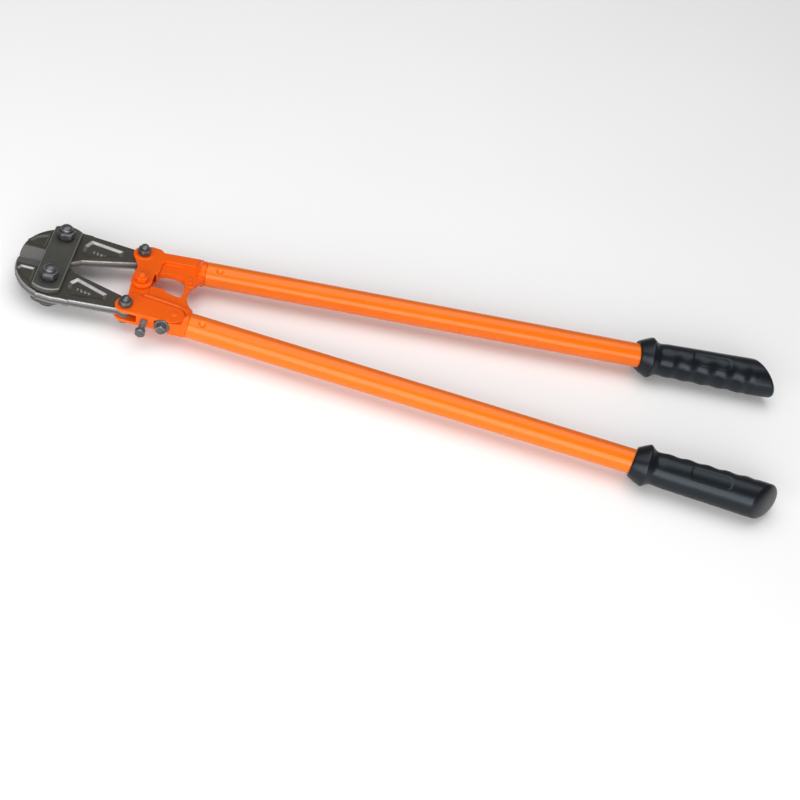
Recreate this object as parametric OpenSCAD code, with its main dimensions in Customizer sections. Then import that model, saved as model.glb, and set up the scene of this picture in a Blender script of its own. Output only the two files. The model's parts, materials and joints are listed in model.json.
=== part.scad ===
// Long-handled bolt cutters, closed, lying flat.
// The outlines are laid out about the point midway between the two jaw bolts:
// +X runs back to the grips, +Y to the upper handle and z = 0 is the tool's mid-plane.
// place() then moves everything onto the surface that the tool rests on.

/* [Jaws] */
// Thickness of both jaws
jaw_t = 10; // [9.2:0.2:10.8]
// Reach of the nose ahead of the jaw bolts
nose_len = 44.8; // [44:0.2:45.6]
// Radius of the nose's outer curve
nose_r = 52.8; // [52:0.2:53.6]
// Width of the ground bevel on each side of the cutting edge
bevel_w = 16; // [12:0.2:17]
// Distance between the two jaw bolts
jaw_pitch = 73; // [72:0.5:74]
// Distance along the tool from the jaw bolts to the tail bolts
tail_len = 91; // [90:0.5:92]
// Distance between the two tail bolts
tail_pitch = 92.6; // [92:0.2:93.4]
// Radius of a jaw's tail round its bolt
tail_r = 9.9; // [9.6:0.1:10.2]
// Depth of the sunk panels in the jaws
panel_depth = 1.5; // [0.8:0.1:1.8]

/* [Straps] */
// Width of a strap
strap_w = 32; // [30:0.5:34]
// Length of a strap
strap_len = 114.4; // [113:0.2:116]
// Thickness of a strap
strap_t = 7.5; // [7:0.1:8.2]
// Radius of the rounded strap ends
strap_end_r = 26; // [24:0.5:28]

/* [Fasteners] */
// Diameter of the jaw bolts
jaw_bolt_d = 14; // [12:0.5:14]
// Width across the flats of the jaw bolts' nuts and heads
jaw_nut_af = 19; // [18:0.5:20]
// Height of the jaw bolts' nuts
jaw_nut_h = 8.4; // [7:0.2:9]
// Diameter of the tail and centre bolts
tail_bolt_d = 9.6; // [9:0.1:9.8]
// Width across the flats of the tail and centre bolts' nuts and heads
tail_nut_af = 14.4; // [14:0.2:14.8]
// Height of the tail and centre bolts' nuts
tail_nut_h = 6.6; // [6:0.2:7]
// Diameter of the adjusting screw and the lock bolt
screw_d = 7.6; // [7:0.2:8]
// Width across the flats of their heads
screw_af = 11; // [10.6:0.2:11.8]

/* [Yokes] */
// Distance along the tool from the jaw bolts to the centre bolt
centre_x = 98.8; // [98.4:0.1:99.2]
// Thickness of the upper yoke's fork ears
ear_t = 3.2; // [3:0.1:3.4]
// Radius of the ears round the tail bolt
ear_r = 12.2; // [11.6:0.1:12.6]
// Radius of the ears round the centre bolt
boss_r = 12.2; // [11.8:0.1:12.4]
// Thickness of the thin webs of both yokes
web_t = 7.4; // [6.8:0.2:8]
// Thickness of the adjuster link's two plates
link_t = 3.3; // [3:0.1:3.6]
// Radius of the link's end round the rivet
link_end_r = 13.3; // [12.8:0.1:13.6]

/* [Handles] */
// Outer diameter of the handle tubes
tube_d = 29.4; // [29:0.2:30]
// Wall of the handle tubes
tube_wall = 2; // [1.6:0.1:2.4]
// Angle between each handle and the tool's centre line
splay = 4.85; // [4.5:0.05:5]
// Height of each handle's axis above the centre line at the jaw bolts
axis_y = 32.5; // [32:0.1:33]
// Distance along the handle's axis to the end of the yoke
yoke_end = 166.4; // [166:0.2:168]
// Length of the yoke's stub inside the tube
stub_len = 48; // [40:1:60]

/* [Grips] */
// Distance along the handle's axis to the grip's mouth
grip_start = 693.8; // [680:1:705]
// Distance along the handle's axis to the tip of the grip
grip_end = 868; // [862:1:876]
// Diameter over the grip's flange
flange_d = 49.6; // [48:0.4:52]
// Diameter of the grip behind the flange
grip_d = 41.6; // [40:0.4:43]

/* [Hidden] */

$fn = 64;
eps = 0.01;

steel_face = [0.24, 0.22, 0.18];
strap_grey = [0.30, 0.30, 0.27];
bolt_steel = [0.45, 0.46, 0.47];
orange = [0.93, 0.38, 0.03];
rubber = [0.12, 0.12, 0.13];

jaw_half = jaw_t / 2;
side_gap = 0.15;                         // play between faces that turn on each other
edge_gap = 0.1;                          // half the gap between the closed jaws
fit = 0.05;                              // radial play of parts bolted fast
run_fit = 0.08;                          // radial play of parts that turn
jaw_y = jaw_pitch / 2;
tail_y = tail_pitch / 2;
JAW_PIN = [0, jaw_y];
TAIL_PIN = [tail_len, tail_y];
CENTRE = [centre_x, 0];
nose_mid_y = 8.6;                        // height of the nose curve's centre
strap_z = jaw_half + side_gap;
strap_top_z = strap_z + strap_t;
ear_z = jaw_half + side_gap;
ear_top_z = ear_z + ear_t;
link_top_z = ear_z + link_t;
rest_h = flange_d / 2;                   // the mid-plane's height above the surface
tube_r = tube_d / 2;
bore_r = tube_r - tube_wall;
tip_flat_r = 14;                         // half-width of the grip's blunt tip
tube_end = grip_end - 48;                // where the tube stops inside the grip
end_r = 64;                              // the grip's rounded end: radius, lean and where it meets the axis
end_lean = 31;
end_roll = 12;
end_lean_drop = 8.2;
groove_pitch = 22.7;                     // the finger grooves
groove_r = 28;
groove_depth = 1.8;
tip_x = grip_end * cos(splay) + tip_flat_r * sin(splay);
mid_x = (tip_x - nose_len) / 2;
washer_h = 2.6;
collar_h = 2.2;
jaw_bolt_proud = 6;                      // how far the bolts' ends stand above their nuts
tail_bolt_proud = 5.6;
centre_bolt_proud = 3.6;
pad_h = 0.9;                             // height of the round pads under the yokes' nuts
pad_z = ear_top_z + pad_h;
centre_play = 3.3;                       // room for the centre bolt as the handles swing
LINK_END = [146.5, -tail_y + 1.6];       // centre of the link's rounded end
LINK_CORNER = [96, -25];                 // the link's corner beside the centre boss
RIVET = [147, -43];
link_edge_y = LINK_END[1] - link_end_r;  // the link's outer long edge
link_tail_r = -link_edge_y - tail_y;     // the link's end round the tail bolt
web_edge_y = -51;                        // outer edge of the lower yoke's web
screw_x = 116;
lock_x = 136.8;
washer_r = 9.2;                          // the lock bolt's flat washer
CROTCH = [190.4, 1];                       // centre of the curve between the handles
crotch_r = 37;

module place() translate([-mid_x, 0, rest_h]) children();
module flip_y() mirror([0, 1, 0]) children();
module slab(z0, z1) translate([0, 0, z0]) linear_extrude(z1 - z0) children();
module both_faces(z0, z1) {
    slab(z0, z1) children();
    slab(-z1, -z0) children();
}
module at_pin(p) translate([p[0], p[1], 0]) children();
module bore(p, r, half) at_pin(p) cylinder(r = r, h = 2 * half, center = true);
// The tube's own axis, from beside the jaw bolts towards the grip
module on_handle() translate([0, axis_y, 0]) rotate([0, 0, splay]) rotate([0, 90, 0]) children();
// The screws' axis, pointing out of the lower yoke's edge
module on_edge(x, y) translate([x, y, 0]) rotate([90, 0, 0]) children();

// ---- fasteners -------------------------------------------------------------
function af_to_r(af) = af / 2 / cos(30);

// A hexagon with its corners turned off at one or both ends
module hexagon(af, h, turn = 0, both = false) {
    chamfer = 0.12 * af;
    r = af_to_r(af);
    intersection() {
        rotate([0, 0, turn]) cylinder(r = r, h = h, $fn = 6);
        rotate_extrude()
            polygon([[0, 0], [both ? r - chamfer : r + 1, 0], [r + 1, both ? chamfer * 0.58 + 0.58 : 0],
                [r + 1, h - chamfer * 0.58 - 0.58], [r - chamfer, h], [0, h]]);
    }
}
module nut(af, h, hole_r, turn) difference() {
    hexagon(af, h, turn, true);
    translate([0, 0, -1]) cylinder(r = hole_r, h = h + 2);
}
// A bolt standing on its head, with a domed end
module bolt(d, head_af, head_h, under_head_z, top_z, turn, collar = 0, collar_r = 0) {
    dome_h = 0.3 * d;
    translate([0, 0, under_head_z - collar - head_h]) mirror([0, 0, 1]) translate([0, 0, -head_h])
        hexagon(head_af, head_h, turn);
    if (collar > 0) translate([0, 0, under_head_z - collar]) cylinder(r = collar_r, h = collar);
    translate([0, 0, under_head_z - eps])
        rotate_extrude() polygon(concat([[0, 0], [d / 2, 0], [d / 2, top_z - under_head_z - dome_h]],
            [for (i = [1:6]) [d / 2 * cos(15 * i), top_z - under_head_z - dome_h * (1 - sin(15 * i))]]));
}
module spring_washer(inner_r, outer_r, h) rotate([0, 0, 200]) difference() {
    cylinder(r = outer_r, h = h);
    translate([0, 0, -1]) cylinder(r = inner_r, h = h + 2);
    translate([outer_r / 2, 0, h / 2]) rotate([25, 0, 0]) cube([outer_r * 1.6, 1.2, h * 3], center = true);
}

module jaw_bolt() {
    head_h = rest_h - strap_top_z - collar_h;
    bolt(jaw_bolt_d, jaw_nut_af, head_h, -strap_top_z,
        strap_top_z + washer_h + jaw_nut_h + jaw_bolt_proud, 0, collar_h, jaw_nut_af * 0.6);
}
module jaw_lock_washer() translate([0, 0, strap_top_z])
    spring_washer(jaw_bolt_d / 2 + 0.2, jaw_nut_af * 0.5, washer_h);
module jaw_nut(turn) translate([0, 0, strap_top_z + washer_h])
    nut(jaw_nut_af, jaw_nut_h, jaw_bolt_d / 2 + fit, turn);
module tail_bolt(seat_z, turn, proud = tail_bolt_proud) bolt(tail_bolt_d, tail_nut_af, tail_nut_h - 0.6, -seat_z,
    seat_z + tail_nut_h + proud, turn);
module tail_nut(seat_z, turn) translate([0, 0, seat_z])
    nut(tail_nut_af, tail_nut_h, tail_bolt_d / 2 + fit, turn);

// ---- head ------------------------------------------------------------------
module strap_outline() {
    end_y = strap_len / 2 - strap_end_r;
    square([strap_w, 2 * (end_y + sqrt(pow(strap_end_r, 2) - pow(strap_w / 2, 2)))], center = true);
    for (s = [-1, 1])
        intersection() {
            translate([0, s * end_y]) circle(r = strap_end_r);
            square([strap_w, strap_len], center = true);
        }
}
module strap(z0) difference() {
    slab(z0, z0 + strap_t) strap_outline();
    for (s = [-1, 1]) bore([0, s * jaw_y], jaw_bolt_d / 2 + fit, 30);
}

module jaw_outline() {
    nose_x = nose_r - nose_len;
    // nose: the round front, down to the cutting edge
    intersection() {
        translate([nose_x, nose_mid_y]) circle(r = nose_r);
        translate([-nose_len, edge_gap]) square([nose_len, 80]);
    }
    // heel: the arc that rolls on the other jaw
    intersection() {
        at_pin(JAW_PIN) circle(r = jaw_y - edge_gap);
        translate([-10, 0]) square([50, 60]);
    }
    polygon([[-1, 20], [18, 8.6], [86, 29.6], [98, 37], TAIL_PIN, [84, 53.6], [54, 56.6], [24, 59.4],
        [nose_x, nose_mid_y + nose_r],
        [-1, nose_mid_y + sqrt(pow(nose_r, 2) - pow(nose_x + 1, 2))]]);
    at_pin(TAIL_PIN) circle(r = tail_r);
    at_pin([tail_len - 1.6, 39.2]) circle(r = 9.2);
}
// The panels sunk in both faces, one in the tail and one in the nose
module jaw_panels() {
    polygon([[22, 39], [22, 28], [29, 18.6], [67.5, 33.6], [67.5, 44.6], [28, 50.6]]);
    polygon([[-40.5, 26], [-37, 19], [-20.6, 19], [-19.4, 27], [-19.4, 44], [-33, 36.4]]);
}

module jaw() difference() {
    slab(-jaw_half, jaw_half) jaw_outline();
    both_faces(jaw_half - panel_depth, jaw_half + 1) jaw_panels();
    bore(JAW_PIN, jaw_bolt_d / 2 + run_fit, 30);
    bore(TAIL_PIN, tail_bolt_d / 2 + run_fit, 30);
    // the ground bevels that meet in the cutting edge
    translate([-nose_len - 1, 0, 0]) rotate([90, 0, 90]) linear_extrude(nose_len - 5)
        for (s = [0, 1]) mirror([0, s])
            polygon([[-1, 0.25], [edge_gap, 0.25], [bevel_w, jaw_half], [bevel_w, jaw_half + 1],
                [-1, jaw_half + 1]]);
}

// ---- upper yoke ------------------------------------------------------------
module ear_outline() {
    at_pin(TAIL_PIN) circle(r = ear_r);
    at_pin(CENTRE) circle(r = boss_r);
    polygon([[79.6, 41], [84.7, 32.4], [89, 25.5], [88.6, 16], [86.8, 3], CENTRE, [110.8, -1], [110.8, 15.6],
        [112, 18.4], [115, 22], [115, 56], [113.5, 56.2], [109, 60.4], [98, 61.6], [86, 57.4]]);
}
module crotch_cut() at_pin(CROTCH) circle(r = crotch_r, $fn = 96);
module core_outline() difference() {
    polygon([[104, 61], [109, 60.4], [113.5, 56.2], [150, 59.8], [160, 60.6], [160, 34], [166, 32],
        [166, 12], [157, 12], [156, edge_gap], [147.9, edge_gap], [147.9, 13.4], [146.2, 19.6],
        [142, 24.4], [133.5, 27],
        [124, 26.4], [116, 23.2], [114.4, 17], [112.6, 17], [110.4, 22], [106.5, 30], [104, 44]]);
    crotch_cut();
}
// The sunk web: from the window up to the thick outer edge
module web_panel() polygon([[113.4, -1], [113.4, 17], [115.2, 23], [115.2, 37], [118, 42], [152, 45.6],
    [156, 41], [158, 33], [166, 31], [166, -1]]);
// The round end that meets the tube, and the stub that the tube is pushed over
module socket(start, start_r) on_handle() rotate_extrude()
    polygon([[0, start], [start_r, start], [tube_r, yoke_end - 6], [tube_r, yoke_end], [bore_r - fit, yoke_end],
        [bore_r - fit, yoke_end + stub_len - 3], [bore_r - 3, yoke_end + stub_len], [0, yoke_end + stub_len]]);

module upper_yoke_body() difference() {
    union() {
        difference() {
            slab(-ear_top_z, ear_top_z) core_outline();
            both_faces(web_t / 2, ear_top_z + 1) web_panel();
        }
        both_faces(ear_z, ear_top_z) ear_outline();
        both_faces(ear_z, pad_z) {
            at_pin(TAIL_PIN) circle(r = ear_r - 1.4);
            at_pin(CENTRE) circle(r = boss_r - 2.8);
        }
        socket(150, web_t / 2);
    }
    bore(TAIL_PIN, tail_bolt_d / 2 + fit, 30);
    bore(CENTRE, tail_bolt_d / 2 + fit, 30);
}

// ---- lower yoke and its adjuster -------------------------------------------
// The link's outline, grown by g all round
module link_outline(g = 0) {
    top_edge = [LINK_END[0] + 1.5, LINK_END[1] + link_end_r];
    lean = atan2(LINK_CORNER[1] - top_edge[1], top_edge[0] - LINK_CORNER[0]);
    out = g * [sin(lean), cos(lean)];
    at_pin([tail_len, -tail_y]) circle(r = link_tail_r + g);
    at_pin(LINK_END) circle(r = link_end_r + g);
    polygon([[tail_len - link_tail_r + 1 - g, -41.5], [92, -26] + [-g, g / 2], LINK_CORNER + out, top_edge + out,
        [LINK_END[0], link_edge_y - g], [tail_len, link_edge_y - g]]);
}
module web_outline() difference() {
    union() {
        at_pin(CENTRE) circle(r = boss_r - 1.2);
        polygon([CENTRE, [109.4, -1], [126, -1], [129, -4.6], [141, -7.8], [147, -8], [147.9, -edge_gap],
            [156, -edge_gap], [157, -12], [166, -12], [166, -32], [160, -34], [160, -55], [150, -54],
            [146, web_edge_y], [106, web_edge_y], [106, -40], [98, -28], [89.6, -27], [88, -6]]);
    }
    crotch_cut();
    at_pin([tail_len, -tail_y]) circle(r = 17.2);
}
// The middle thickness: between the fork's ears and between the link's plates
module lug_outline() intersection() {
    web_outline();
    union() {
        at_pin(CENTRE) circle(r = boss_r - 1.2);
        polygon([[88, -6], [88, -28], [150, -36], [150, -24], [110.6, -17], [109.4, -4]]);
        link_outline(4);
    }
}
// The thick bead round the link's pocket, and the thick end beside the tube
module rim_outline() difference() {
    union() {
        intersection() {
            link_outline(8.4);
            translate([105, -60]) square([60, 60]);
        }
        polygon([[157, -30], [158, -14], [166, -22], [166, -32], [160, -34], [160, -56], [153, -55]]);
    }
    crotch_cut();
    translate([80, -80]) square([64, 80 + web_edge_y + 3]);
    translate([140, -80]) square([30, 80 - 60.4]);
}
module lower_yoke_body() difference() {
    union() {
        slab(-web_t / 2, web_t / 2) web_outline();
        slab(-jaw_half, jaw_half) lug_outline();
        slab(-ear_top_z, ear_top_z) rim_outline();
        flip_y() socket(152, web_t / 2);
    }
    both_faces(jaw_half + eps, tube_r + 1) link_outline(1.2);
    bore(CENTRE, tail_bolt_d / 2 + centre_play, 30);
    bore(RIVET, 4 + fit, 30);
    on_edge(lock_x, web_edge_y + 24) cylinder(r = screw_d / 2 + run_fit, h = 40);
    // the spot face that clears the lock bolt's washer
    on_edge(lock_x, link_edge_y + side_gap) cylinder(r = washer_r + 0.3, h = 10);
}
module adjuster_link_body() difference() {
    union() {
        both_faces(ear_z, link_top_z) link_outline();
        translate([106.7, link_edge_y, -link_top_z]) cube([20.9, 3.2, 2 * link_top_z]);
    }
    bore([tail_len, -tail_y], tail_bolt_d / 2 + fit, 30);
    bore(RIVET, 4 + fit, 30);
    on_edge(screw_x, link_edge_y + 10) cylinder(r = screw_d / 2 + run_fit, h = 20);
}
module rivet_body() at_pin(RIVET) rotate_extrude() polygon([[0, -link_top_z - 0.9], [3, -link_top_z - 0.9],
    [4.6, -link_top_z], [4, -link_top_z], [4, link_top_z], [4.6, link_top_z], [3, link_top_z + 0.9],
    [0, link_top_z + 0.9]]);
// A hexagon screw along the edge axis: its tip lies at tip_y and its head sits out at head_y
module edge_screw(x, tip_y, head_y, head_h) {
    on_edge(x, tip_y) cylinder(r = screw_d / 2, h = tip_y - head_y + eps);
    on_edge(x, head_y) hexagon(screw_af, head_h, 30);
}

// ---- handles ---------------------------------------------------------------
module tube_body(dent_turn) difference() {
    on_handle() difference() {
        translate([0, 0, yoke_end]) cylinder(r = tube_r, h = tube_end - yoke_end);
        translate([0, 0, yoke_end - 1]) cylinder(r = bore_r, h = grip_end);
    }
    // the punched dent that holds the tube on the stub
    on_handle() rotate([0, 0, dent_turn]) translate([-tube_r - 4.1, 0, yoke_end + 16]) sphere(r = 5.2);
}
// The grip's end: a shallow dome that leans outwards and a little upwards
module grip_end_shape() {
    translate([0, 0, grip_start - 2]) cylinder(r = flange_d, h = grip_end - grip_start - 50);
    translate([0, 0, grip_end - end_lean_drop]) rotate([-end_lean, -end_roll, 0])
        translate([0, 0, -end_r]) sphere(r = end_r);
}
module grip_body() difference() {
    on_handle() intersection() {
        rotate_extrude() polygon([[0, grip_start], [tube_r + 2.2, grip_start], [tube_r + 3.6, grip_start + 2],
            [flange_d / 2 - 0.6, grip_start + 14], [flange_d / 2, grip_start + 15.6],
            [flange_d / 2 - 0.8, grip_start + 17], [grip_d / 2 - 1.6, grip_start + 26],
            [grip_d / 2 - 0.8, grip_start + 34], [grip_d / 2, grip_start + 70],
            [grip_d / 2 + 1.4, grip_end - 40], [grip_d / 2 + 1.4, grip_end - 12],
            [grip_d / 2, grip_end - 5.6], [tip_flat_r + 4, grip_end - 1.8], [tip_flat_r, grip_end],
            [0, grip_end]]);
        grip_end_shape();
    }
    on_handle() translate([0, 0, grip_start - 1]) cylinder(r = tube_r, h = tube_end - grip_start + 2);
    // shallow finger grooves on the inner side
    for (i = [0:3]) translate([0, axis_y, 0]) rotate([0, 0, splay])
        translate([grip_start + 50 + groove_pitch * i, -grip_d / 2 - groove_r + groove_depth, 0])
            cylinder(r = groove_r, h = 60, center = true);
}

// ---- nodes -----------------------------------------------------------------
module strap_top() color(strap_grey) place() strap(strap_z);
module strap_bottom() color(strap_grey) place() strap(-strap_top_z);
module jaw_upper() color(steel_face) place() jaw();
module jaw_lower() color(steel_face) place() flip_y() jaw();
module jaw_bolt_upper() color(bolt_steel) place() at_pin(JAW_PIN) jaw_bolt();
module jaw_bolt_lower() color(bolt_steel) place() at_pin(-JAW_PIN) jaw_bolt();
module jaw_lock_washer_upper() color(bolt_steel) place() at_pin(JAW_PIN) jaw_lock_washer();
module jaw_lock_washer_lower() color(bolt_steel) place() at_pin(-JAW_PIN) jaw_lock_washer();
module jaw_nut_upper() color(bolt_steel) place() at_pin(JAW_PIN) jaw_nut(12);
module jaw_nut_lower() color(bolt_steel) place() at_pin(-JAW_PIN) jaw_nut(4);
module upper_yoke() color(orange) place() upper_yoke_body();
module lower_yoke() color(orange) place() lower_yoke_body();
module adjuster_link() color(orange) place() adjuster_link_body();
module link_rivet() color(orange) place() rivet_body();
module tail_bolt_upper() color(bolt_steel) place() at_pin(TAIL_PIN) tail_bolt(pad_z, 30);
module tail_bolt_lower() color(bolt_steel) place() at_pin([tail_len, -tail_y]) tail_bolt(link_top_z, 20);
module tail_nut_upper() color(bolt_steel) place() at_pin(TAIL_PIN) tail_nut(pad_z, 30);
module tail_nut_lower() color(bolt_steel) place() at_pin([tail_len, -tail_y]) tail_nut(link_top_z, 20);
module centre_bolt() color(orange) place() at_pin(CENTRE) tail_bolt(pad_z, 10, centre_bolt_proud);
module centre_nut() color(orange) place() at_pin(CENTRE) tail_nut(pad_z, 10);
module adjusting_screw() color(bolt_steel) place() edge_screw(screw_x, web_edge_y - eps, -74.2, 5.2);
module lock_bolt() color(bolt_steel) place() edge_screw(lock_x, web_edge_y + 20, link_edge_y - 2.1, 6.6);
module lock_bolt_washer() color(bolt_steel) place() on_edge(lock_x, link_edge_y) difference() {
    cylinder(r = washer_r, h = 2);
    translate([0, 0, -1]) cylinder(r = screw_d / 2 + 0.4, h = 4);
}
module tube_upper() color(orange) place() tube_body(25);
module tube_lower() color(orange) place() flip_y() tube_body(-25);
module grip_upper() color(rubber) place() grip_body();
module grip_lower() color(rubber) place() flip_y() grip_body();

strap_top();
strap_bottom();
jaw_upper();
jaw_lower();
jaw_bolt_upper();
jaw_bolt_lower();
jaw_lock_washer_upper();
jaw_lock_washer_lower();
jaw_nut_upper();
jaw_nut_lower();
upper_yoke();
lower_yoke();
adjuster_link();
link_rivet();
tail_bolt_upper();
tail_bolt_lower();
tail_nut_upper();
tail_nut_lower();
centre_bolt();
centre_nut();
adjusting_screw();
lock_bolt();
lock_bolt_washer();
tube_upper();
tube_lower();
grip_upper();
grip_lower();
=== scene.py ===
"""Long-handled bolt cutters lying closed on a pale floor: meshes, finishes, light and camera."""
import json
import math

import bmesh
import bpy
import numpy as np
from mathutils import Matrix, Vector


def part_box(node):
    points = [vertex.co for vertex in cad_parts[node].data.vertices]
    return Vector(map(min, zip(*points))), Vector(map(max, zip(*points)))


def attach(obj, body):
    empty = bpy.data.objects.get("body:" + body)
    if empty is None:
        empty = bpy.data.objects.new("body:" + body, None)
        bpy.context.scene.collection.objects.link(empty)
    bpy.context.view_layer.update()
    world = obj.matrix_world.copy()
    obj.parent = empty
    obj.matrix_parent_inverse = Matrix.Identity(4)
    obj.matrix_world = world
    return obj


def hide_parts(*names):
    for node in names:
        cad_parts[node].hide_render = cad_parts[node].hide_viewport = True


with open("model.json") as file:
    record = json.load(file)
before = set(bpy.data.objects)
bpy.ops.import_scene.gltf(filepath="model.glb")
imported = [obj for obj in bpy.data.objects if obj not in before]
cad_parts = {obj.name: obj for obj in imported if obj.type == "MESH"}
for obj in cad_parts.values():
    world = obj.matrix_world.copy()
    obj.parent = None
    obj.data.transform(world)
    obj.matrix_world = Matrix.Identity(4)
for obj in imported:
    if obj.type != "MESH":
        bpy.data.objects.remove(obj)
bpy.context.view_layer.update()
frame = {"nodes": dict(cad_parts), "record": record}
RECORD = frame["record"]["behaviour"]
BODY_OF = {n: body for body, nodes in RECORD["bodies"].items() for n in nodes}
PIVOT = {j["name"]: Vector(j["pos_m"]) for j in RECORD["joints"]}
# The tool's own centre: midway between the jaw bolts, at mid-thickness
CENTRE = (PIVOT["upper_jaw_turn"] + PIVOT["lower_jaw_turn"]) / 2
MM = 0.001
# Points nearer to each other than this are one point, in metres
WELD = 2e-6

# The handles' axes and the places along them, in millimetres from CENTRE
SPLAY = math.radians(4.85)
AXIS_Y = 32.5
TUBE_START = 166.4
TUBE_END = 820.0
TUBE_R = 14.7
TUBE_BORE_R = 12.7
GRIP_START = 693.8


# ---- shared mesh work --------------------------------------------------------
def add_object(name, mesh):
    piece = bpy.data.objects.new(name, mesh)
    bpy.context.scene.collection.objects.link(piece)
    return piece


def bake_modifiers(piece):
    """Turns the modifiers' result into the piece's plain mesh."""
    bpy.context.view_layer.update()
    graph = bpy.context.evaluated_depsgraph_get()
    mesh = bpy.data.meshes.new_from_object(piece.evaluated_get(graph))
    piece.modifiers.clear()
    piece.data = mesh
    return piece


def node_copy(node, name):
    """A welded copy of a CAD node."""
    mesh = frame["nodes"][node].data.copy()
    mesh.materials.clear()
    bm = bmesh.new()
    bm.from_mesh(mesh)
    bmesh.ops.remove_doubles(bm, verts=bm.verts, dist=WELD)
    bm.to_mesh(mesh)
    bm.free()
    return add_object(name, mesh)


def shade(piece, sharp_degrees):
    """Smooth shading, broken only where faces meet more sharply than this."""
    mesh = piece.data
    mesh.polygons.foreach_set("use_smooth", [True] * len(mesh.polygons))
    if sharp_degrees < 180:
        mesh.set_sharp_from_angle(angle=math.radians(sharp_degrees))
    mesh.update()
    return piece


def points_mm(piece):
    """The mesh's points in millimetres from CENTRE, one in each row."""
    flat = np.empty(len(piece.data.vertices) * 3, np.float32)
    piece.data.vertices.foreach_get("co", flat)
    return (flat.reshape(-1, 3).astype(float) - np.array(CENTRE)) / MM


def normals(piece):
    flat = np.empty(len(piece.data.vertices) * 3, np.float32)
    piece.data.vertex_normals.foreach_get("vector", flat)
    return flat.reshape(-1, 3).astype(float)


def move_to_mm(piece, points):
    flat = (points * MM + np.array(CENTRE)).astype(np.float32).ravel()
    piece.data.vertices.foreach_set("co", flat)
    piece.data.update()


def set_attribute(piece, name, values):
    layer = piece.data.attributes.new(name, "FLOAT", "POINT")
    layer.data.foreach_set("value", values.astype(np.float32))


def soften(piece, factor, iterations):
    """Relaxes the mesh, which rounds its corners."""
    smooth = piece.modifiers.new("soften", "SMOOTH")
    smooth.factor = factor
    smooth.iterations = iterations
    return bake_modifiers(piece)


def voxel_skin(piece, voxel_mm):
    """Gives the piece a fine, even skin that can be shaped point by point."""
    remesh = piece.modifiers.new("skin", "REMESH")
    remesh.mode = "VOXEL"
    remesh.voxel_size = voxel_mm * MM
    return bake_modifiers(piece)


def section_lines(node, height_mm):
    """The outline of a CAD node where a level plane cuts it, as pairs of points in millimetres."""
    bm = bmesh.new()
    bm.from_mesh(frame["nodes"][node].data)
    bmesh.ops.remove_doubles(bm, verts=bm.verts, dist=WELD)
    level = Vector((0, 0, CENTRE.z + height_mm * MM))
    whole = bm.verts[:] + bm.edges[:] + bm.faces[:]
    cut = bmesh.ops.bisect_plane(bm, geom=whole, plane_co=level, plane_no=(0, 0, 1))
    edges = [e for e in cut["geom_cut"] if isinstance(e, bmesh.types.BMEdge)]
    lines = np.array([[v.co[:2] for v in e.verts] for e in edges], float)
    bm.free()
    return (lines - np.array(CENTRE)[:2]) / MM


def drop_lines_round(lines, place, radius):
    """Leaves out a bore's own outline."""
    return lines[np.hypot(*(lines[:, 0] - place).T) > radius]


def nearest_on(points, lines):
    """The distance to the nearest line, and the nearest point on it."""
    best = np.full(len(points), 1e9)
    foot = np.zeros((len(points), 2))
    for a, b in lines:
        along = b - a
        t = np.clip((points - a) @ along / max(along @ along, 1e-12), 0, 1)
        q = a + t[:, None] * along
        far = np.hypot(*(points - q).T)
        closer = far < best
        best[closer] = far[closer]
        foot[closer] = q[closer]
    return best, foot


def depth_inside(points, corners):
    """How far inside a polygon each point lies; less than zero outside it."""
    ring = np.array(corners, float)
    lines = np.stack([ring, np.roll(ring, -1, axis=0)], axis=1)
    far, foot = nearest_on(points, lines)
    inside = np.zeros(len(points), bool)
    for a, b in lines:
        spans = (a[1] > points[:, 1]) != (b[1] > points[:, 1])
        rise = b[1] - a[1] if b[1] != a[1] else 1e-9
        inside ^= spans & (points[:, 0] < (b[0] - a[0]) * (points[:, 1] - a[1]) / rise + a[0])
    return np.where(inside, far, -far), foot


def draw_in_edges(piece, lines, mid_z, half, inset_at, reach=3.0):
    """Draws the outline in towards both faces: inset_at gives how far, at each depth below the face.

    Says which points are on the sides, and how deep below the nearer face each point is."""
    points = points_mm(piece)
    normal = normals(piece)
    far, foot = nearest_on(points[:, :2], lines)
    inward = points[:, :2] - foot
    on_side = np.hypot(normal[:, 0], normal[:, 1]) > 0.5
    inward[on_side] = -normal[on_side, :2]
    inward /= np.maximum(np.hypot(*inward.T), 1e-6)[:, None]
    depth = np.clip(half - np.abs(points[:, 2] - mid_z), 0, half)
    fade = np.where(on_side, 1, np.clip(1 - far / reach, 0, 1))
    points[:, :2] += inward * (inset_at(depth) * fade)[:, None]
    move_to_mm(piece, points)
    return on_side & (far < 1.2), depth


# ---- shared material work ----------------------------------------------------
def new_finish(name):
    finish = bpy.data.materials.new(name)
    finish.use_nodes = True
    tree = finish.node_tree
    tree.nodes.clear()
    out = tree.nodes.new("ShaderNodeOutputMaterial")
    shader = tree.nodes.new("ShaderNodeBsdfPrincipled")
    tree.links.new(shader.outputs["BSDF"], out.inputs["Surface"])
    place = tree.nodes.new("ShaderNodeTexCoord").outputs["Object"]
    return finish, tree, shader, place


def noise(tree, place, scale, detail=3.0, roughness=0.5):
    """Cloudy variation: the scale is in lumps to the metre."""
    node = tree.nodes.new("ShaderNodeTexNoise")
    node.inputs["Scale"].default_value = scale
    node.inputs["Detail"].default_value = detail
    node.inputs["Roughness"].default_value = roughness
    tree.links.new(place, node.inputs["Vector"])
    return node.outputs["Fac"]


def stretched(tree, place, scale):
    """The place with a scale for each direction, for streaks and scuffs."""
    node = tree.nodes.new("ShaderNodeMapping")
    node.inputs["Scale"].default_value = scale
    tree.links.new(place, node.inputs["Vector"])
    return node.outputs["Vector"]


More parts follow.
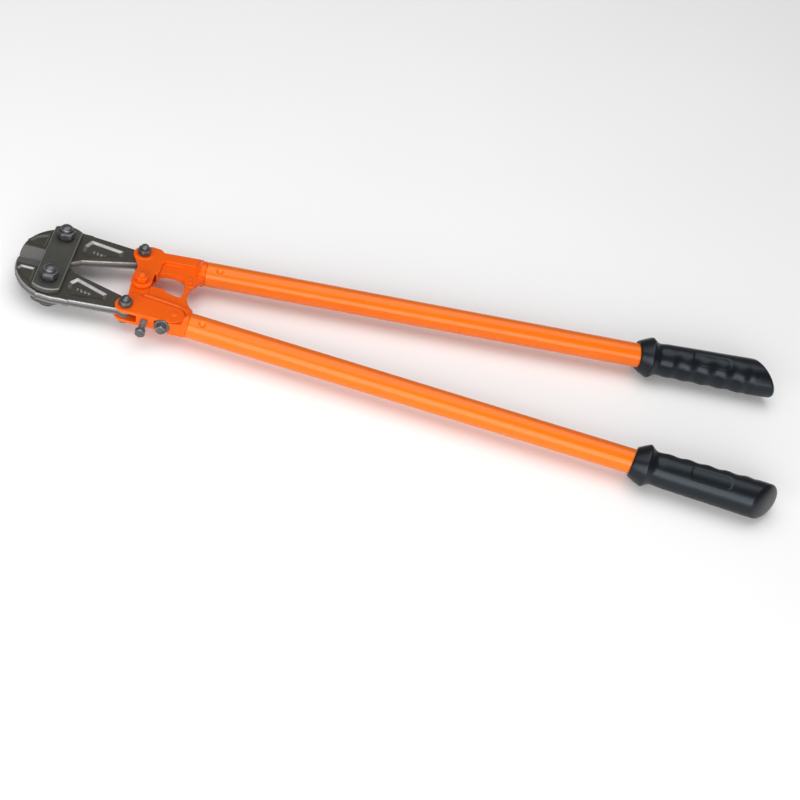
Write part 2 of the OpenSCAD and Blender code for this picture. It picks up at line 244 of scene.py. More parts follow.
def span(tree, value, low, high, from_low=0.3, from_high=0.7):
    """Spreads a value over the range from low to high."""
    node = tree.nodes.new("ShaderNodeMapRange")
    node.inputs["From Min"].default_value = from_low
    node.inputs["From Max"].default_value = from_high
    node.inputs["To Min"].default_value = low
    node.inputs["To Max"].default_value = high
    tree.links.new(value, node.inputs["Value"])
    return node.outputs["Result"]


def blend_colours(tree, factor, first, second):
    node = tree.nodes.new("ShaderNodeMix")
    node.data_type = "RGBA"
    tree.links.new(factor, node.inputs["Factor"])
    # sockets 6 and 7 take the two colours, and socket 2 gives the blend
    for socket, value in ((node.inputs[6], first), (node.inputs[7], second)):
        if isinstance(value, tuple):
            socket.default_value = (*value, 1)
        else:
            tree.links.new(value, socket)
    return node.outputs[2]


def calculate(tree, operation, first, second):
    node = tree.nodes.new("ShaderNodeMath")
    node.operation = operation
    node.use_clamp = True
    for socket, value in zip(node.inputs, (first, second)):
        if isinstance(value, (int, float)):
            socket.default_value = value
        else:
            tree.links.new(value, socket)
    return node.outputs[0]


def attribute(tree, name):
    node = tree.nodes.new("ShaderNodeAttribute")
    node.attribute_name = name
    return node.outputs["Fac"]


def add_bump(tree, shader, height, strength, distance_mm):
    node = tree.nodes.new("ShaderNodeBump")
    node.inputs["Strength"].default_value = strength
    node.inputs["Distance"].default_value = distance_mm * MM
    tree.links.new(height, node.inputs["Height"])
    tree.links.new(node.outputs["Normal"], shader.inputs["Normal"])


def edge_wear(tree, low=0.52, high=0.6):
    """Brightest on outward corners, where handling has rubbed the steel."""
    node = tree.nodes.new("ShaderNodeNewGeometry")
    return span(tree, node.outputs["Pointiness"], 0, 1, low, high)


# ---- finishes ----------------------------------------------------------------
def jaw_steel():
    """Oil-blackened forging, with bright steel where its point attribute says: ground steel on the sides
    and cutting bevels, and painted highlight on the sunk panels' walls that face the camera.
    """
    finish, tree, shader, place = new_finish("jaw_steel")
    cloud = noise(tree, place, 60, 5, 0.6)
    grain = noise(tree, place, 1400, 2)
    black = blend_colours(tree, span(tree, cloud, 0, 1), (0.030, 0.026, 0.019), (0.047, 0.040, 0.030))
    streaks = noise(tree, stretched(tree, place, (900, 500, 500)), 1, 4)
    bright = blend_colours(tree, span(tree, streaks, 0, 1), (0.30, 0.30, 0.31), (0.46, 0.46, 0.47))
    bare_and_highlight = attribute(tree, "bare_and_highlight")
    tree.links.new(blend_colours(tree, bare_and_highlight, black, bright), shader.inputs["Base Color"])
    tree.links.new(calculate(tree, "MULTIPLY", bare_and_highlight, 0.9), shader.inputs["Metallic"])
    dull = span(tree, cloud, 0.46, 0.6)
    shiny = calculate(tree, "MULTIPLY", bare_and_highlight, 0.16)
    tree.links.new(calculate(tree, "SUBTRACT", dull, shiny), shader.inputs["Roughness"])
    shader.inputs["Specular IOR Level"].default_value = 0.42
    add_bump(tree, shader, grain, 0.16, 0.12)
    return finish


def strap_steel():
    finish, tree, shader, place = new_finish("strap_steel")
    cloud = noise(tree, place, 45, 5, 0.6)
    scuffs = noise(tree, stretched(tree, place, (500, 60, 500)), 1, 5, 0.65)
    plain = blend_colours(tree, span(tree, cloud, 0, 1), (0.046, 0.045, 0.038), (0.066, 0.065, 0.056))
    bare_and_highlight = attribute(tree, "bare_and_highlight")
    tree.links.new(blend_colours(tree, bare_and_highlight, plain, (0.26, 0.26, 0.25)), shader.inputs["Base Color"])
    shader.inputs["Metallic"].default_value = 0.25
    tree.links.new(span(tree, scuffs, 0.40, 0.56), shader.inputs["Roughness"])
    add_bump(tree, shader, noise(tree, place, 1600, 2), 0.14, 0.1)
    return finish


def bolt_steel():
    finish, tree, shader, place = new_finish("bolt_steel")
    cloud = noise(tree, place, 160, 4, 0.6)
    colour = blend_colours(tree, span(tree, cloud, 0, 1), (0.085, 0.088, 0.09), (0.16, 0.163, 0.167))
    worn = blend_colours(tree, edge_wear(tree), colour, (0.34, 0.34, 0.34))
    tree.links.new(worn, shader.inputs["Base Color"])
    shader.inputs["Metallic"].default_value = 0.85
    tree.links.new(span(tree, cloud, 0.32, 0.46), shader.inputs["Roughness"])
    add_bump(tree, shader, noise(tree, place, 1800, 2), 0.12, 0.08)
    return finish


def washer_steel():
    finish, tree, shader, place = new_finish("washer_steel")
    cloud = noise(tree, place, 300, 3)
    colour = blend_colours(tree, span(tree, cloud, 0, 1), (0.018, 0.018, 0.02), (0.035, 0.035, 0.036))
    tree.links.new(colour, shader.inputs["Base Color"])
    shader.inputs["Metallic"].default_value = 0.5
    tree.links.new(span(tree, cloud, 0.35, 0.5), shader.inputs["Roughness"])
    return finish


def stamp_silver():
    """The worn tops of the stamped marks."""
    finish, tree, shader, place = new_finish("stamp_silver")
    cloud = noise(tree, place, 900, 3)
    colour = blend_colours(tree, span(tree, cloud, 0, 1), (0.12, 0.12, 0.12), (0.34, 0.34, 0.34))
    tree.links.new(colour, shader.inputs["Base Color"])
    shader.inputs["Metallic"].default_value = 0.5
    tree.links.new(span(tree, cloud, 0.35, 0.55), shader.inputs["Roughness"])
    return finish


def orange_paint(name, deep, bright, gloss, peel, coat):
    """Stoved orange paint: peel is how strongly its skin is dimpled, coat how wet it looks."""
    finish, tree, shader, place = new_finish(name)
    cloud = noise(tree, place, 14, 3, 0.5)
    colour = blend_colours(tree, span(tree, cloud, 0, 1), deep, bright)
    tree.links.new(colour, shader.inputs["Base Color"])
    uneven = noise(tree, place, 30, 2)
    tree.links.new(span(tree, uneven, gloss, gloss + 0.04), shader.inputs["Roughness"])
    shader.inputs["Specular IOR Level"].default_value = 0.30
    shader.inputs["Specular Tint"].default_value = (1.0, 0.62, 0.25, 1)
    shader.inputs["Coat Weight"].default_value = coat
    shader.inputs["Coat Roughness"].default_value = 0.20
    add_bump(tree, shader, noise(tree, place, 700, 2), peel, 0.15)
    return finish


def grip_rubber():
    finish, tree, shader, place = new_finish("grip_rubber")
    cloud = noise(tree, place, 40, 4)
    clean, dusty = (0.0018, 0.0019, 0.0024), (0.0036, 0.0038, 0.0046)
    colour = blend_colours(tree, span(tree, cloud, 0, 1), clean, dusty)
    tree.links.new(colour, shader.inputs["Base Color"])
    tree.links.new(span(tree, noise(tree, place, 240, 3), 0.29, 0.35), shader.inputs["Roughness"])
    shader.inputs["Specular IOR Level"].default_value = 0.40
    shader.inputs["Specular Tint"].default_value = (0.74, 0.87, 1.0, 1)
    add_bump(tree, shader, noise(tree, place, 1100, 3, 0.6), 0.10, 0.12)
    return finish


def floor_paper():
    finish, tree, shader, place = new_finish("floor_paper")
    cloud = noise(tree, place, 3, 2)
    colour = blend_colours(tree, span(tree, cloud, 0, 1), (0.93, 0.93, 0.93), (0.945, 0.945, 0.945))
    tree.links.new(colour, shader.inputs["Base Color"])
    tree.links.new(span(tree, cloud, 0.7, 0.8), shader.inputs["Roughness"])
    shader.inputs["Specular IOR Level"].default_value = 0.1
    return finish


JAW_STEEL = jaw_steel()
STRAP_STEEL = strap_steel()
BOLT_STEEL = bolt_steel()
WASHER_STEEL = washer_steel()
STAMP_SILVER = stamp_silver()
YOKE_PAINT = orange_paint("yoke_paint", (0.78, 0.092, 0.0005), (0.84, 0.108, 0.0008),
                          gloss=0.30, peel=0.06, coat=0.22)
TUBE_PAINT = orange_paint("tube_paint", (0.76, 0.135, 0.0008), (0.79, 0.145, 0.001),
                          gloss=0.26, peel=0.008, coat=0.5)
GRIP_RUBBER = grip_rubber()


def put_on(piece, node, finish):
    """The piece takes the node's place, on its body."""
    piece.data.materials.clear()
    piece.data.materials.append(finish)
    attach(piece, BODY_OF[node])
    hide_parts(node)


# ---- jaws --------------------------------------------------------------------
# Half the jaw's thickness, the sunk panels' depth, and the rings kept clear of draft round the two bores
JAW_HALF = 5.0
PANEL_DEPTH = 1.5
TAIL_BORE_KEEP = 7
JAW_BORE_KEEP = 9
# Corners of the sunk panels behind and ahead of the pivots, as on the upper jaw
TAIL_PANEL = [(22, 39), (22, 28), (29, 18.6), (67.5, 33.6), (67.5, 44.6), (28, 50.6)]
NOSE_PANEL = [(-40.5, 26), (-37, 19), (-20.6, 19), (-19.4, 27), (-19.4, 44), (-33, 36.4)]


# How brightly the jaw's sides are ground, at each depth below the face
GROUND_AT = [(0, 0.5), (0.3, 0.9), (1.3, 0.85), (2.0, 0.4), (3.3, 0.35), (4.0, 0.1), (5, 0.1)]


def jaw_draft(depth):
    """The forging's draft: steep, from the parting line up to each face, with a rounded corner."""
    return np.clip(1 - depth / 3.6, 0, 1) + 0.35 * np.clip(1 - depth / 0.6, 0, 1) ** 2


def sink_panel(points, corners, side, run):
    """Gives a sunk panel sloping walls, each as wide as run.

    Says how much of a wall each point is, and which way it faces."""
    outline = [(x, side * y) for x, y in corners]
    deep, foot = depth_inside(points[:, :2], outline)
    touched = (deep > -0.7) & (np.abs(points[:, 2]) > JAW_HALF - PANEL_DEPTH - 0.8)
    fall = PANEL_DEPTH * np.clip(deep / run, 0, 1)
    points[touched, 2] = (np.sign(points[:, 2]) * (JAW_HALF - fall))[touched]
    wall = touched * np.clip((deep + 0.3) / 0.5, 0, 1) * np.clip((run - deep) / 0.6, 0, 1)
    away = np.where(deep > 0, 1, -1)[:, None] * (points[:, :2] - foot)
    facing = away / np.maximum(np.hypot(*away.T), 1e-6)[:, None]
    return wall, facing


def forged_jaw(node, name, side):
    """A blackened jaw with drafted, ground sides, and sunk panels whose walls facing the camera get a
    painted highlight of bright steel.
    """
    piece = node_copy(node, name)
    voxel_skin(piece, 0.5)
    soften(piece, 0.5, 2)
    lines = section_lines(node, 0)
    swing = PIVOT["handle_swing"]
    tail_pin = np.array([swing.x - CENTRE.x, side * swing.y]) / MM
    jaw_pin = np.array([0, side * PIVOT["upper_jaw_turn"].y / MM])
    lines = drop_lines_round(lines, tail_pin, TAIL_BORE_KEEP)
    lines = drop_lines_round(lines, jaw_pin, JAW_BORE_KEEP)
    on_side, depth = draw_in_edges(piece, lines, 0, JAW_HALF, jaw_draft)
    points = points_mm(piece)
    bare_and_highlight = np.where(on_side, np.interp(depth, *zip(*GROUND_AT)), 0)
    for corners, run in ((TAIL_PANEL, 4.2), (NOSE_PANEL, 2.8)):
        wall, facing = sink_panel(points, corners, side, run)
        # painted highlight: panel walls facing the camera and front lamps are painted bright steel, side
        # walls faintly, far-facing walls not at all; the upper jaw's nose panel walls stay nearly black
        facing_wall_highlight = 0.12 if side > 0 and corners is NOSE_PANEL else 0.95
        bare_and_highlight += wall * np.interp(facing[:, 1], [-0.5, -0.4, 0.2, 0.3], [facing_wall_highlight, 0.15, 0.15, 0])
    # the cutting edge's ground slope lies ahead of the pivots, next to the middle line
    out = side * points[:, 1]
    slope = (points[:, 0] < -8) & (out > 0.6) & (out < 15.6)
    bare_and_highlight[slope & (np.abs(points[:, 2]) < JAW_HALF - 0.12)] = 0.22
    move_to_mm(piece, points)
    set_attribute(piece, "bare_and_highlight", bare_and_highlight)
    shade(piece, 180)
    put_on(piece, node, JAW_STEEL)
    return piece


# ---- straps ------------------------------------------------------------------
STRAP_CHAMFER = 0.9


def strap_chamfer(depth):
    return STRAP_CHAMFER * np.clip(1 - depth, 0, 1)


def strap_plate(node, name):
    """A flat strap whose chamfered edges are worn bright."""
    low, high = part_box(node)
    mid = ((low.z + high.z) / 2 - CENTRE.z) / MM
    half = (high.z - low.z) / 2 / MM
    piece = node_copy(node, name)
    voxel_skin(piece, 0.45)
    soften(piece, 0.5, 2)
    lines = section_lines(node, mid)
    for pin in ("upper_jaw_turn", "lower_jaw_turn"):
        lines = drop_lines_round(lines, np.array([0, PIVOT[pin].y / MM]), JAW_BORE_KEEP)
    on_side, depth = draw_in_edges(piece, lines, mid, half, strap_chamfer)
    set_attribute(piece, "bare_and_highlight", np.where(on_side & (depth < 1.3), 0.6, 0.0))
    shade(piece, 40)
    put_on(piece, node, STRAP_STEEL)
    return piece


# ---- yokes and the adjuster link ----------------------------------------------
# Heights from mid-thickness: the web's face, and the crest of the bead beside the link
WEB_HALF = 3.7
BEAD_TOP = 8.2
# The bead's crest lies this far outside the link's edge, and falls away over its half width
BEAD_OFFSET = 4.5
BEAD_HALF_WIDE = 3.5
BEAD_FRONT_X = 108.5
THICK_END_X = 149
# The crotch between the handles: the CAD's arc, and where its curve leaves that arc for the tube
CROTCH_X, CROTCH_Y, CROTCH_R = 190.4, 1.0, 37.0
CROTCH_LEAVES_X = 156
YOKE_END_X = 166
TUBE_EDGE_Y = 31.6


def round_bead(piece):
    """Rounds the bead that runs beside the adjuster link, down to the web and into its groove."""
    points = points_mm(piece)
    x, y, up = points[:, 0], points[:, 1], np.abs(points[:, 2])
    above_web = up > WEB_HALF + 0.2
    gap, _ = nearest_on(points[:, :2], section_lines("adjuster_link", 7.0))
    rise = np.sqrt(np.clip(1 - ((gap - BEAD_OFFSET) / BEAD_HALF_WIDE) ** 2, 0, 1))
    start = np.sqrt(np.clip(1 - np.clip((BEAD_FRONT_X - x) / 3.6, 0, 1) ** 2, 0, 1))
    merge = np.clip((x - THICK_END_X) / 9, 0, 1)
    relief = BEAD_TOP - WEB_HALF
    height = np.minimum(up, WEB_HALF + relief * (rise * start * (1 - merge) + merge))
    rim = above_web & (x > BEAD_FRONT_X - 5) & (y > -46) & (gap < 9.5)
    # the thick end falls away to the web beside the crotch
    beside = above_web & (x > THICK_END_X + 1) & (y > -30)
    fall = WEB_HALF + relief * np.clip((-20 - y) / 9, 0, 1)
    height = np.where(beside, np.minimum(height, fall), height)
    rim |= beside
    points[rim, 2] = (np.sign(points[:, 2]) * height)[rim]
    move_to_mm(piece, points)


def crotch_edge(x, side):
    """How far out from the middle line the CAD's arc is, at x."""
    return np.sqrt(CROTCH_R ** 2 - (CROTCH_X - x) ** 2) + side * CROTCH_Y


def run_out_crotch(piece):
    """Leads the crotch's curve out to the inner edge of the tube, so that no corner stands proud."""
    points = points_mm(piece)
    side = np.sign(points[:, 1])
    x = np.clip(points[:, 0], CROTCH_LEAVES_X, YOKE_END_X)
    share = (x - CROTCH_LEAVES_X) / (YOKE_END_X - CROTCH_LEAVES_X)
    edge = crotch_edge(x, side) + (TUBE_EDGE_Y - crotch_edge(YOKE_END_X, side)) * share ** 2
    short = (points[:, 0] > CROTCH_LEAVES_X) & (np.abs(points[:, 1]) < edge)
    points[short, 1] = (side * edge)[short]
    move_to_mm(piece, points)


def forged_yoke(node, name, voxel_mm, smoothing):
    """A painted forging with rounded corners; the adjuster link's plates are made this way too."""
    piece = node_copy(node, name)
    voxel_skin(piece, voxel_mm)
    if node == "lower_yoke":
        round_bead(piece)
    run_out_crotch(piece)
    soften(piece, 0.5, smoothing)
    shade(piece, 180)
    put_on(piece, node, YOKE_PAINT)
    return piece


# ---- fasteners ---------------------------------------------------------------
def eased_fastener(node, name, finish, ease_mm=0.22):
    """A copy of the node with its sharp edges eased."""
    piece = node_copy(node, name)
    dissolve = piece.modifiers.new("flats", "DECIMATE")
    dissolve.decimate_type = "DISSOLVE"
    dissolve.angle_limit = math.radians(1.5)
    ease = piece.modifiers.new("ease", "BEVEL")
    ease.width = ease_mm * MM
    ease.segments = 2
    ease.limit_method = "ANGLE"
    ease.angle_limit = math.radians(28)
    ease.use_clamp_overlap = True
    bake_modifiers(piece)
    shade(piece, 32)
    put_on(piece, node, finish)
    return piece


# ---- handle tubes ------------------------------------------------------------
def handle_frame(side):
    """The handle's start, its direction, its outward direction and up."""
    along = Vector((math.cos(SPLAY), side * math.sin(SPLAY), 0))
    outward = Vector((-math.sin(SPLAY), side * math.cos(SPLAY), 0))
    start = CENTRE + Vector((0, side * AXIS_Y * MM, 0))
    return start, along, outward, Vector((0, 0, 1))


def on_ring(s, r, turn):
    """A ring's point: distance along the handle, outward and up."""
    return s, r * math.cos(turn), r * math.sin(turn)


def skin_rings(name, rings, side):
    """Closed skin over rings of points given as (distance along, outward, up), in millimetres."""
    start, along, outward, up = handle_frame(side)
    bm = bmesh.new()
    loops = []
    for ring in rings:
        places = [start + (along * s + outward * o + up * u) * MM for s, o, u in ring]
        loops.append([bm.verts.new(p) for p in places])
    count = len(rings[0])
    for first, second in zip(loops, loops[1:]):
        for k in range(count):
            n = (k + 1) % count
            bm.faces.new((first[k], first[n], second[n], second[k]))
    bm.faces.new(loops[0])
    bm.faces.new(loops[-1])
    bmesh.ops.recalc_face_normals(bm, faces=bm.faces[:])
    mesh = bpy.data.meshes.new(name)
    bm.to_mesh(mesh)
    bm.free()
    return add_object(name, mesh)


# The yoke's stub inside the tube, and the punched dent that holds the tube on it: its place behind
# the tube's mouth, depth and half width
STUB_LONG = 60
DENT_BACK = 16
DENT_DEEP = 2.5
DENT_HALF = 4.3
# How much the mouth's rim is eased, at each distance behind it
MOUTH_EASE = {0: 0.9, 0.25: 0.4, 0.6: 0.1}


def tube_rings(side):
    """Down the outside, over the end and back up the bore; joined end to end afterwards."""
    dent_s = TUBE_START + DENT_BACK
    dent_turn = math.radians(90 + 25 * side)
    mouth = {TUBE_START + back: ease for back, ease in MOUTH_EASE.items()}
    stations = list(mouth)
    stations += list(np.arange(TUBE_START + 3, dent_s - 6, 2.5))
    stations += list(np.arange(dent_s - 6, dent_s + 6.01, 0.4))
    stations += list(np.linspace(dent_s + 9, TUBE_END, 40))
    count = 240
    turns = [2 * math.pi * k / count for k in range(count)]
    outer = []
    for s in stations:
        ring = []
        for a in turns:
            across = TUBE_R * math.remainder(a - dent_turn, 2 * math.pi)
            gap = math.hypot((s - dent_s) / 1.15, across)
            dip = DENT_DEEP * max(0, 1 - (gap / DENT_HALF) ** 2) ** 1.3
            ring.append(on_ring(s, TUBE_R - mouth.get(s, 0.0) - dip, a))
        outer.append(ring)
    bore = (TUBE_END, TUBE_START + STUB_LONG, TUBE_START)
    inner = [[on_ring(s, TUBE_BORE_R, a) for a in turns] for s in bore]
    return outer + inner


def handle_tube(node, name, side):
    piece = skin_rings(name, tube_rings(side), side)
    bm = bmesh.new()
    bm.from_mesh(piece.data)
    caps = [f for f in bm.faces if len(f.verts) > 4]
    rims = [edge for cap in caps for edge in cap.edges]
    bmesh.ops.delete(bm, geom=caps, context="FACES_ONLY")
    bmesh.ops.bridge_loops(bm, edges=rims)
    bmesh.ops.recalc_face_normals(bm, faces=bm.faces[:])
    bm.to_mesh(piece.data)
    bm.free()
    shade(piece, 50)
    put_on(piece, node, TUBE_PAINT)
    return piece


# ---- grips -------------------------------------------------------------------
# Radius at each distance behind the grip's mouth: mouth, flange, neck, body, tip
GRIP_PROFILE = [(0, 16.9), (0.8, 17.8), (2.2, 18.6), (8, 21.6), (13.4, 24.1), (14.8, 24.7), (16, 24.75),
                (17.4, 24.1), (20.5, 21.6), (23.5, 19.7), (26.5, 19.1), (30, 19.4), (36, 20.0),
                (70, 20.8), (110, 21.4), (135, 22.1), (152, 22.1), (176, 21.4)]
# The finger grooves: first and last place behind the mouth, the first crest, pitch and depth
GROOVES_FROM, GROOVES_TO = 36, 144
FIRST_CREST = 38.6
GROOVE_PITCH = 22.7
GROOVE_DEEP = 1.9
CREST_HIGH = 0.6
# The sunk blank label panel: its middle behind the mouth, straight half length and width, corner, depth
PANEL_MIDDLE = 89
PANEL_HALF_LONG = 18.5
PANEL_HALF_WIDE = 3
PANEL_CORNER = 5.5
PANEL_SUNK = 0.6
# The slanted end: where its middle is, its radius, how its plane leans and how far it bulges
GRIP_END = 850.6
END_R = 22.1
LEAN_OUT, LEAN_UP = -0.62, -0.24
END_BULGE = 8.6
MOUTH_SLANT = -0.12


def grip_radius(s, turn, side):
    """Outer radius of the moulded grip at a distance behind its mouth."""
    r = float(np.interp(s, *zip(*GRIP_PROFILE)))
    inner_side = max(0.0, -math.cos(turn))
    if GROOVES_FROM < s < GROOVES_TO:
        wave = 0.5 - 0.5 * math.cos(2 * math.pi * (s - FIRST_CREST) / GROOVE_PITCH)
        edge = min(1, (s - GROOVES_FROM) / 6, (GROOVES_TO - s) / 8)
        r -= (GROOVE_DEEP * wave - CREST_HIGH) * edge * inner_side ** 1.2
    along = abs(s - PANEL_MIDDLE) - PANEL_HALF_LONG
    panel_turn = math.radians(90 + 22 * side)
    across = abs(math.remainder(turn - panel_turn, 2 * math.pi)) * 21 - PANEL_HALF_WIDE
    rim = math.hypot(max(along, 0), max(across, 0)) + min(max(along, across), 0)
    r -= PANEL_SUNK * min(1, max(0, (PANEL_CORNER - rim) / 0.8))
    return r


def slanted_end(end, turn, share=1):
    """The end's leaning plane, at a share of the way from its middle to its rim."""
    return end + END_R * share * (LEAN_OUT * math.cos(turn) + LEAN_UP * math.sin(turn))


def mouth_slant(r, turn):
    """The grip's mouth stands a little slanted: how far this point of it is off square."""
    return MOUTH_SLANT * r * math.cos(turn)


def grip_rings(side, longer):
    """Rings from the bore's end out round the mouth and back over the slanted, rounded end."""
    count = 160
    turns = [2 * math.pi * k / count for k in range(count)]
    rings = [[on_ring(s, TUBE_R, a) for a in turns] for s in (TUBE_END + 1, GRIP_START + 20)]
    for back, r in ((1.2, 14.8), (0.3, 15.1), (0, 15.7)):
        rings.append([on_ring(GRIP_START + back + mouth_slant(r, a), r, a) for a in turns])
    # close together over the flange and its neck, then every millimetre
    stations = [0, 0.4, 0.8, 1.5, 2.2, 4, 6, 8, 10, 12, 13.4, 14.2, 14.8, 15.4, 16, 16.7, 17.4, 18.4]
    stations += [19.5, 20.5, 21.5, 22.5, 23.5, 24.5, 25.5, 26.5, 28, 30] + list(np.arange(31, 60, 1.0))
    for back in stations:
        square_up = max(0, 1 - back / 14)
        ring = []
        for a in turns:
            r = grip_radius(back, a, side)
            ring.append(on_ring(GRIP_START + back + mouth_slant(r, a) * square_up, r, a))
        rings.append(ring)
    root = GRIP_START + 60
    end = GRIP_END + longer
    for t in np.linspace(0, 1, 96):
        ring = []
        for a in turns:
            s = root + (slanted_end(end, a) - root) * t
            ring.append(on_ring(s, grip_radius(s - GRIP_START, a, side), a))
        rings.append(ring)
    steps = 27
    for step in range(1, steps):
        lift = step / steps * math.pi / 2
        share = math.cos(lift) ** 0.72
        bulge = END_BULGE * math.sin(lift) ** 1.15
        ring = []
        for a in turns:
            r = grip_radius(slanted_end(end, a) - GRIP_START, a, side) * share
            ring.append(on_ring(slanted_end(end, a, share) + bulge, r, a))
        rings.append(ring)
    return rings


def moulded_grip(node, name, side, longer):
    """A rubber grip; longer is how far its end stands past GRIP_END."""
    piece = skin_rings(name, grip_rings(side, longer), side)
    soften(piece, 0.4, 2)
    shade(piece, 180)
    put_on(piece, node, GRIP_RUBBER)
    return piece


# ---- repeated details, made by geometry nodes ----------------------------------
def start_tree(name, sizes):
    """A node tree with named sizes, given as (label, kind, value)."""
    tree = bpy.data.node_groups.new(name, "GeometryNodeTree")
    for label, kind, value in sizes:
        socket = tree.interface.new_socket(name=label, in_out="INPUT", socket_type="NodeSocket" + kind)
        socket.default_value = value
    tree.interface.new_socket(name="Geometry", in_out="OUTPUT", socket_type="NodeSocketGeometry")
    sizes_in = tree.nodes.new("NodeGroupInput").outputs
    return tree, sizes_in


def end_tree(tree, geometry, sizes_in, finish):
    """Turns and places the result, makes it real and gives it its finish."""
    move = tree.nodes.new("GeometryNodeTransform")
    real = tree.nodes.new("GeometryNodeRealizeInstances")
    paint = tree.nodes.new("GeometryNodeSetMaterial")
    paint.inputs["Material"].default_value = finish
    out = tree.nodes.new("NodeGroupOutput")
    tree.links.new(geometry, move.inputs["Geometry"])
    tree.links.new(sizes_in["Place"], move.inputs["Translation"])
    tree.links.new(sizes_in["Turn"], move.inputs["Rotation"])
    tree.links.new(move.outputs["Geometry"], real.inputs["Geometry"])
    tree.links.new(real.outputs["Geometry"], paint.inputs["Geometry"])
    tree.links.new(paint.outputs["Geometry"], out.inputs["Geometry"])


def grow(tree, name, sizes):
    """Runs a tree with these sizes and keeps the result as a plain mesh."""
    piece = add_object(name, bpy.data.meshes.new(name))
    modifier = piece.modifiers.new("grow", "NODES")
    modifier.node_group = tree
    for socket in tree.interface.items_tree:
        if socket.in_out == "INPUT" and socket.name in sizes:
            modifier[socket.identifier] = sizes[socket.name]
    return bake_modifiers(piece)


def thread_tree():
    """A thread's ridge: a small section swept along a helix."""
    tree, sizes_in = start_tree("thread_ridge", [
        ("Turns", "Float", 8.0), ("Length", "Float", 0.01), ("Radius", "Float", 0.004),
        ("Ridge", "Float", 0.0005), ("Place", "Vector", (0, 0, 0)), ("Turn", "Rotation", (0, 0, 0))])
    helix = tree.nodes.new("GeometryNodeCurveSpiral")
    helix.inputs["Resolution"].default_value = 40
    tree.links.new(sizes_in["Turns"], helix.inputs["Rotations"])
    tree.links.new(sizes_in["Radius"], helix.inputs["Start Radius"])
    tree.links.new(sizes_in["Radius"], helix.inputs["End Radius"])
    tree.links.new(sizes_in["Length"], helix.inputs["Height"])
    crest = tree.nodes.new("GeometryNodeCurvePrimitiveCircle")
    crest.inputs["Resolution"].default_value = 6
    tree.links.new(sizes_in["Ridge"], crest.inputs["Radius"])
    sweep = tree.nodes.new("GeometryNodeCurveToMesh")
    sweep.inputs["Fill Caps"].default_value = True
    tree.links.new(helix.outputs["Curve"], sweep.inputs["Curve"])
    tree.links.new(crest.outputs["Curve"], sweep.inputs["Profile Curve"])
    end_tree(tree, sweep.outputs["Mesh"], sizes_in, BOLT_STEEL)
    return tree


def random_vector(tree, low, high, seed):
    node = tree.nodes.new("FunctionNodeRandomValue")
    node.data_type = "FLOAT_VECTOR"
    node.inputs["Min"].default_value = low
    node.inputs["Max"].default_value = high
    node.inputs["Seed"].default_value = seed
    return node.outputs["Value"]


def stamp_tree(name, finish):
    """A short row of plain stamped dashes."""
    tree, sizes_in = start_tree(name, [
        ("Count", "Int", 4), ("Step", "Vector", (0.004, 0, 0)),
        ("Dash", "Vector", (0.002, 0.003, 0.0006)),
        ("Place", "Vector", (0, 0, 0)), ("Turn", "Rotation", (0, 0, 0))])
    row = tree.nodes.new("GeometryNodeMeshLine")
    tree.links.new(sizes_in["Count"], row.inputs["Count"])
    tree.links.new(sizes_in["Step"], row.inputs["Offset"])
    dash = tree.nodes.new("GeometryNodeMeshCube")
    tree.links.new(sizes_in["Dash"], dash.inputs["Size"])
    place = tree.nodes.new("GeometryNodeInstanceOnPoints")
    tree.links.new(row.outputs["Mesh"], place.inputs["Points"])
    tree.links.new(dash.outputs["Mesh"], place.inputs["Instance"])
    tree.links.new(random_vector(tree, (0, 0, -0.3), (0, 0, 0.5), 3), place.inputs["Rotation"])
    tree.links.new(random_vector(tree, (0.6, 0.6, 1), (1.1, 1.1, 1), 7), place.inputs["Scale"])
    end_tree(tree, place.outputs["Instances"], sizes_in, finish)
    return tree


def in_tool(x, y, z):
    return CENTRE + Vector((x, y, z)) * MM


def ease_small(piece, width_mm):
    """Takes the sharpness off a stamped dash."""
    ease = piece.modifiers.new("ease", "BEVEL")
    ease.width = width_mm * MM
    ease.segments = 2
    bake_modifiers(piece)
    shade(piece, 60)


def add_stamps():
    """Plain dashes on the floors of the jaws' tail panels and on the upper yoke's web."""
    floor = JAW_HALF - PANEL_DEPTH
    silver = stamp_tree("jaw_stamp_row", STAMP_SILVER)
    jaw_rows = (("upper_jaw", "upper_jaw_stamp", 35, 32.5),
                ("lower_jaw", "lower_jaw_stamp", 33.5, -36))
    for body, name, x, y in jaw_rows:
        piece = grow(silver, name, {
            "Count": 4, "Step": (0.0046, -0.0009, 0), "Dash": (0.0027, 0.0046, 0.0005),
            "Place": in_tool(x, y, floor)})
        ease_small(piece, 0.1)
        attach(piece, body)
    painted = stamp_tree("yoke_stamp_row", YOKE_PAINT)
    piece = grow(painted, "upper_yoke_stamp", {
        "Count": 3, "Step": (0.0016, -0.0062, 0), "Dash": (0.0056, 0.0036, 0.0022),
        "Place": in_tool(151.5, 26, WEB_HALF)})
    ease_small(piece, 0.35)
    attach(piece, "upper_handle")


def add_screw_thread():
    low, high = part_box("adjusting_screw")
    middle = (low + high) / 2
    head_deep = 5.4 * MM
    bare_tip = 0.6 * MM
    length = high.y - low.y - head_deep - bare_tip
    piece = grow(thread_tree(), "adjusting_screw_thread", {
        "Turns": 9.0, "Length": length, "Radius": 3.72 * MM, "Ridge": 0.42 * MM,
        "Place": Vector((middle.x, low.y + head_deep + length, middle.z)),
        "Turn": Vector((math.radians(90), 0, 0))})
    shade(piece, 180)
    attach(piece, "adjusting_screw")


